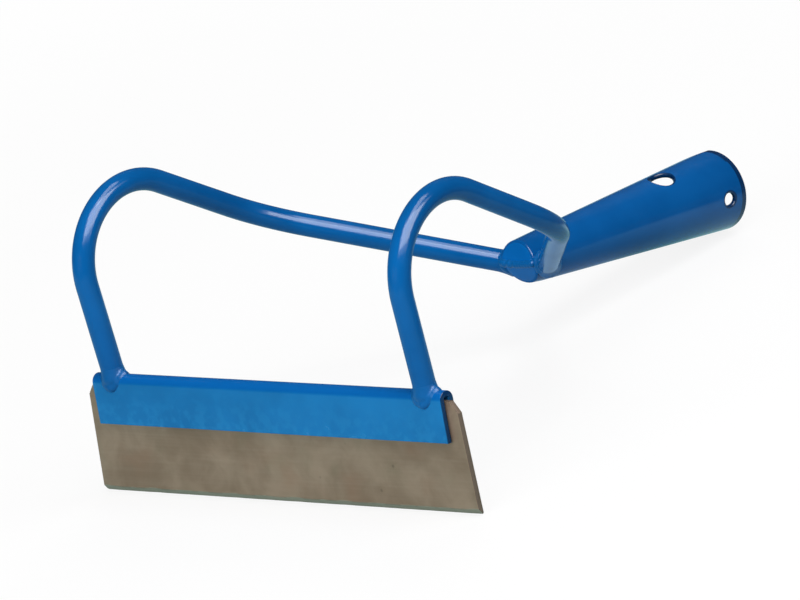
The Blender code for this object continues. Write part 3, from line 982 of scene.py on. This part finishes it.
def run_points(start, end):
    """Points along a straight run, both ends left out."""
    count = max(1, int((end - start).length / RUN_STEP))
    return [start.lerp(end, step / count) for step in range(1, count)]


def bent_path(corners, radii):
    """Straight runs between the corners, with each inner corner rounded to its radius."""
    path = [corners[0]]
    for before, corner, after, radius in zip(corners, corners[1:], corners[2:], radii):
        back = (before - corner).normalized()
        ahead = (after - corner).normalized()
        opening = back.angle(ahead)
        turn = math.pi - opening
        centre = corner + (back + ahead).normalized() * radius / math.sin(opening / 2)
        start = corner + back * radius / math.tan(opening / 2) - centre
        end = corner + ahead * radius / math.tan(opening / 2) - centre
        path += run_points(path[-1], centre + start)
        steps = math.ceil(turn / BEND_STEP)
        for step in range(steps + 1):
            part = turn * step / steps
            spoke = (start * math.sin(turn - part) + end * math.sin(part)) / math.sin(turn)
            path.append(centre + spoke)
    path += run_points(path[-1], corners[-1])
    path.append(corners[-1])
    return path


def arm_path(side):
    kink = mirrored(ARM_KINK, side)
    joint = neck_joint(side)
    end = joint + (joint - kink).normalized() * ARM_IN_WALL
    corners = [foot_point(side), mirrored(ARM_TOP_CORNER, side), kink, end]
    return [TOOL @ point for point in bent_path(corners, (ARM_TOP_RADIUS, ARM_KINK_RADIUS))]


def socket_core():
    """A filled cone that ends halfway through the socket's wall, for coping the arms to it."""
    cage = bmesh.new()
    middle = SOCKET_WALL / 2
    bmesh.ops.create_cone(cage, cap_ends=True, segments=CORE_SIDES, radius1=MOUTH_RADIUS - middle,
                          radius2=NOSE_RADIUS - middle, depth=SOCKET_LENGTH)
    bmesh.ops.translate(cage, verts=cage.verts, vec=(0.0, 0.0, SOCKET_LENGTH / 2))
    mesh = bpy.data.meshes.new("socket_core")
    settle(cage, mesh, {}, SOCKET)
    return new_piece("socket_core", mesh)


def make_arm(name, side, tree, finish, core):
    """The bent bar, coped to the socket's side."""
    inputs = {"Finish": finish, "Bar Radius": ARM_RADIUS, "Sides": ARM_SIDES, "Unevenness": ARM_UNEVENNESS}
    bar = new_piece(name, tree.apply(path_curve(name, arm_path(side)), inputs))
    cope = bar.modifiers.new("cope", "BOOLEAN")
    cope.operation = "DIFFERENCE"
    cope.solver = "EXACT"
    cope.object = core
    mesh = plain_mesh(bar)
    shade_edges(mesh, SHARP_ANGLE)
    return new_piece(name, mesh)


# Weld beads

def weld_drops(name, path, tree, finish, radius, spacing, seed):
    inputs = {"Finish": finish, "Drop Radius": radius, "Spacing": spacing, "Variation": DROP_VARIATION,
              "Seed": seed}
    return tree.apply(path_curve(name, path), inputs)


def collar_mesh(start, end, flare):
    """A solid flare round the bar, hollow in profile, that runs out into the bar's own surface."""
    axis = end - start
    turn = axis.to_track_quat("Z", "Y").to_matrix().to_4x4()
    foot = ARM_RADIUS - COLLAR_SINK + flare
    profile = [(0.0, -COLLAR_DOME)]
    for step in range(1, COLLAR_DOME_STEPS):
        angle = QUARTER_TURN * step / COLLAR_DOME_STEPS
        profile.append((foot * math.sin(angle), -COLLAR_DOME * math.cos(angle)))
    for step in range(COLLAR_STEPS + 1):
        share = step / COLLAR_STEPS
        radius = ARM_RADIUS - COLLAR_SINK + flare * (1.0 - share) ** COLLAR_HOLLOW
        profile.append((radius, axis.length * share))
    profile.append((0.0, axis.length))
    mesh = lathe("collar", profile, COLLAR_SIDES)
    mesh.transform(Matrix.Translation(start) @ turn)
    return mesh


def fused(name, meshes, smoothing):
    """One skin round overlapping lumps, softened as molten metal is."""
    cage = bmesh.new()
    for mesh in meshes:
        cage.from_mesh(mesh)
    joined = bpy.data.meshes.new(name)
    cage.to_mesh(joined)
    cage.free()
    item = new_piece(name, joined)
    skin = item.modifiers.new("skin", "REMESH")
    skin.mode = "VOXEL"
    skin.voxel_size = WELD_VOXEL
    skin.use_smooth_shade = True
    soften = item.modifiers.new("soften", "SMOOTH")
    soften.factor = 0.5
    soften.iterations = smoothing
    mesh = plain_mesh(item)
    mesh.shade_smooth()
    return new_piece(name, mesh)


def foot_weld_path(side):
    """Round the bar's foot: across the fold at its sides, and lower down the flanges in front and behind."""
    points = []
    for step in range(RING_STEPS + 1):
        angle = FULL_TURN * step / RING_STEPS
        x = side * ARM_FOOT_X + FOOT_RING_ALONG * math.cos(angle)
        z = FOOT_RING_ACROSS * math.sin(angle)
        y = HOLDER_TOP - FOOT_RING_SINK - FOOT_RING_FALL * abs(math.sin(angle)) ** FOOT_RING_CURVE
        points.append(PLATE @ Vector((x, y, z)))
    return points


def make_foot_weld(name, side, tree, finish):
    drops = weld_drops("foot_ripples", foot_weld_path(side), tree, finish,
                       radius=0.0018, spacing=0.0008, seed=5 + side)
    foot = TOOL @ foot_point(side)
    upward = (TOOL @ mirrored(ARM_TOP_CORNER, side) - foot).normalized()
    collar = collar_mesh(foot, foot + upward * FOOT_COLLAR_LENGTH, FOOT_COLLAR_FLARE)
    return fused(name, [drops, collar], smoothing=38)


def neck_line(side):
    """The joint of arm and socket, and the direction in which the arm runs into it."""
    joint = TOOL @ neck_joint(side)
    kink = TOOL @ mirrored(ARM_KINK, side)
    return joint, (joint - kink).normalized()


def neck_weld_path(side):
    """Round the bar where it meets the socket's wall."""
    joint, along = neck_line(side)
    to_socket = SOCKET.inverted()
    flat = to_socket.to_3x3() @ along
    first = Vector((0.0, 0.0, 1.0)).cross(flat).normalized()
    second = flat.cross(first).normalized()
    start = to_socket @ joint
    points = []
    for step in range(RING_STEPS + 1):
        angle = FULL_TURN * step / RING_STEPS
        spoke = first * math.cos(angle) + second * math.sin(angle)
        spoke = spoke * (ARM_RADIUS + NECK_RING_GAP - NECK_RING_SQUASH * max(0.0, -spoke.y))
        place = start + spoke - flat * NECK_SEARCH_START
        for _ in range(NECK_SEARCH_STEPS):
            travel = (place - start).dot(flat)
            touching = math.hypot(place.x, place.y) < socket_radius(place.z) + NECK_WALL_REACH
            if travel > NECK_REACH_BACK and (touching or travel > NECK_REACH_AHEAD):
                break
            place = place + flat * NECK_SEARCH_STEP
        points.append(SOCKET @ place)
    return points


def make_neck_weld(name, side, tree, finish):
    drops = weld_drops("neck_ripples", neck_weld_path(side), tree, finish,
                       radius=0.0013, spacing=0.0010, seed=11 + side)
    joint, along = neck_line(side)
    inner = joint + along * NECK_COLLAR_IN
    outer = joint - along * NECK_COLLAR_OUT
    collar = collar_mesh(inner, outer, NECK_COLLAR_FLARE)
    return fused(name, [drops, collar], smoothing=7)


def nose_weld_path():
    """Across the closed nose from bar to bar, with a slight sag."""
    points = []
    for step in range(NOSE_BEAD_STEPS + 1):
        across = -1.0 + 2 * step / NOSE_BEAD_STEPS
        height = NOSE_BEAD_SAG * across ** 2 + NOSE_BEAD_LIFT
        points.append(SOCKET @ Vector((NOSE_BEAD_REACH * across, height, SOCKET_LENGTH - NOSE_BEAD_SINK)))
    return points


def make_nose_weld(name, tree, finish):
    drops = weld_drops("nose_ripples", nose_weld_path(), tree, finish,
                       radius=0.0015, spacing=0.0012, seed=23)
    return fused(name, [drops], smoothing=5)


# The head

def dress(piece, finish, node):
    """Paint a piece, set it on the head's one body and let it stand for its CAD node."""
    piece.data.materials.clear()
    piece.data.materials.append(finish)
    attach(piece, "root")
    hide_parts(node)


def build_head():
    # The holder and the nose get lighter copies of the one enamel: painted light
    holder_paint = blue_enamel("holder_lit_enamel", HOLDER_LIT_BLUE, with_fold_shade=True)
    arm_paint = blue_enamel("arm_enamel", ARM_BLUE)
    socket_paint = blue_enamel("socket_enamel", SOCKET_BLUE, inside=True)
    nose_paint = blue_enamel("nose_lit_enamel", NOSE_LIT_BLUE)
    weld_paint = blue_enamel("weld_enamel", WELD_BLUE, satin=WELD_SATIN)

    dress(make_blade(), rolled_steel(), "blade")
    dress(make_holder(), holder_paint, "blade_holder")
    dress(make_socket(), socket_paint, "socket")
    dress(make_plug(), nose_paint, "nose_plug")
    bars = bar_tree()
    ripples = ripple_tree()
    core = socket_core()
    for word, side in (("left", -1), ("right", 1)):
        arm = make_arm(word + "_bar", side, bars, arm_paint, core)
        dress(arm, arm_paint, word + "_arm")
        foot = make_foot_weld("foot_bead_" + word, side, ripples, weld_paint)
        dress(foot, weld_paint, "foot_weld_" + word)
        neck = make_neck_weld("neck_bead_" + word, side, ripples, weld_paint)
        dress(neck, weld_paint, "neck_weld_" + word)
    dress(make_nose_weld("nose_bead", ripples, weld_paint), weld_paint, "nose_weld")
    bpy.data.objects.remove(core, do_unlink=True)


# Studio

def in_view(right, up, back):
    """A direction given by the picture's own right, up and towards the camera."""
    return VIEW_RIGHT * right + VIEW_UP * up + VIEW_BACK * back


def place_camera():
    data = bpy.data.cameras.new("photo_camera")
    data.lens = VIEW_LENS
    data.sensor_width = VIEW_SENSOR
    data.clip_end = VIEW_CLIP_END
    camera = new_piece("photo_camera", data)
    turn = Matrix((VIEW_RIGHT, VIEW_UP, VIEW_BACK)).transposed().to_4x4()
    camera.matrix_world = Matrix.Translation(VIEW_CENTRE + VIEW_BACK * VIEW_DISTANCE) @ turn
    bpy.context.scene.camera = camera


def floor_paper():
    """White to the camera; to the head a tinted paper, darker beyond it, which glows in the paint's
    reflections, more in two patches under the head: a painted reflection.
    """
    recipe = Recipe("studio_floor")
    seen = recipe.node("ShaderNodeLightPath", output="Is Camera Ray")
    mirrored_in = recipe.node("ShaderNodeLightPath", output="Is Glossy Ray")
    place = recipe.place()
    beyond = recipe.rise(recipe.part(place, "X") + recipe.part(place, "Y"), *BEYOND_HEAD)
    paper = recipe.blend(seen, recipe.blend(beyond, PAPER, PAPER_BEYOND), PAPER_SEEN)
    tint = MIRRORED_PAPER
    share = MIRRORED_SHARE
    for centre, inner, outer, patch_tint, added in MIRRORED_PATCHES:
        near = 1.0 - recipe.rise(recipe.distance(place, centre), inner, outer)
        tint = recipe.blend(near, tint, patch_tint)
        share = share + near * added
    far_off = recipe.rise(recipe.distance(place, (0.0, 0.0, 0.0)), *FAR_OFF)
    glowing = seen * (WHITENESS + far_off * (1.0 - WHITENESS)) + mirrored_in * share * (1.0 - beyond)
    lit = recipe.node("ShaderNodeBsdfDiffuse", values={"Color": paper})
    glow = recipe.node("ShaderNodeEmission", values={"Color": recipe.blend(seen, tint, (1.0, 1.0, 1.0))})
    mixed = recipe.node("ShaderNodeMixShader", values={0: glowing, 1: lit, 2: glow})
    recipe.feed(recipe.tree.nodes["Material Output"].inputs["Surface"], mixed)
    return recipe.material


def make_floor():
    """A large flat sheet just under the head."""
    mesh = bpy.data.meshes.new("studio_floor")
    signs = ((-1, -1), (1, -1), (1, 1), (-1, 1))
    corners = [(x * FLOOR_REACH, y * FLOOR_REACH, -FLOOR_DROP) for x, y in signs]
    mesh.from_pydata(corners, [], [(0, 1, 2, 3)])
    mesh.materials.append(floor_paper())
    new_piece("studio_floor", mesh)


def light_room():
    """A dark room for the light, and plain white where the camera looks past the floor."""
    world = bpy.data.worlds.new("studio")
    bpy.context.scene.world = world
    world.use_nodes = True
    tree = world.node_tree
    room = tree.nodes["Background"]
    room.inputs["Color"].default_value = WHITE
    room.inputs["Strength"].default_value = ROOM_LIGHT
    white = tree.nodes.new("ShaderNodeBackground")
    white.inputs["Color"].default_value = WHITE
    paths = tree.nodes.new("ShaderNodeLightPath")
    mixer = tree.nodes.new("ShaderNodeMixShader")
    tree.links.new(paths.outputs["Is Camera Ray"], mixer.inputs[0])
    tree.links.new(room.outputs[0], mixer.inputs[1])
    tree.links.new(white.outputs[0], mixer.inputs[2])
    tree.links.new(mixer.outputs[0], tree.nodes["World Output"].inputs["Surface"])


def softbox(name, toward, distance, size, power, roll=0.0, mirrored_in=True, lights=True):
    """A rectangular lamp that looks at the head from a direction given in the picture."""
    direction = in_view(*toward).normalized()
    data = bpy.data.lights.new(name, "AREA")
    data.shape = "RECTANGLE"
    data.size, data.size_y = size
    data.energy = power
    lamp = new_piece(name, data)
    lamp.visible_camera = False
    lamp.visible_glossy = mirrored_in
    lamp.visible_diffuse = lights
    lamp.location = LIT_CENTRE + direction * distance
    upright = (-direction).to_track_quat("-Z", "Y").to_matrix()
    lamp.rotation_euler = (upright @ Matrix.Rotation(roll, 3, "Z")).to_euler()


def hang_lamps():
    """A broad lamp in front, with a core that only shows in the gloss, and others above, left and behind."""
    softbox("overhead", (0.12, 0.88, 0.46), distance=1.7, size=(1.0, 0.7), power=13.0)
    softbox("front_right", SHINE_FROM, distance=1.8, size=(2.8, 1.6), power=30.0, roll=SHINE_ROLL)
    softbox("shine", SHINE_FROM, distance=1.79, size=(2.2, 1.1), power=62.0, roll=SHINE_ROLL, lights=False)
    softbox("front_left", (-0.70, -0.14, 0.70), distance=2.0, size=(1.8, 0.62), power=31.0,
            mirrored_in=False)
    softbox("behind", (0.05, 0.75, -0.66), distance=1.9, size=(1.4, 0.8), power=15.0, mirrored_in=False)


place_camera()
build_head()
make_floor()
light_room()
hang_lamps()
bpy.context.scene.view_settings.view_transform = "Standard"
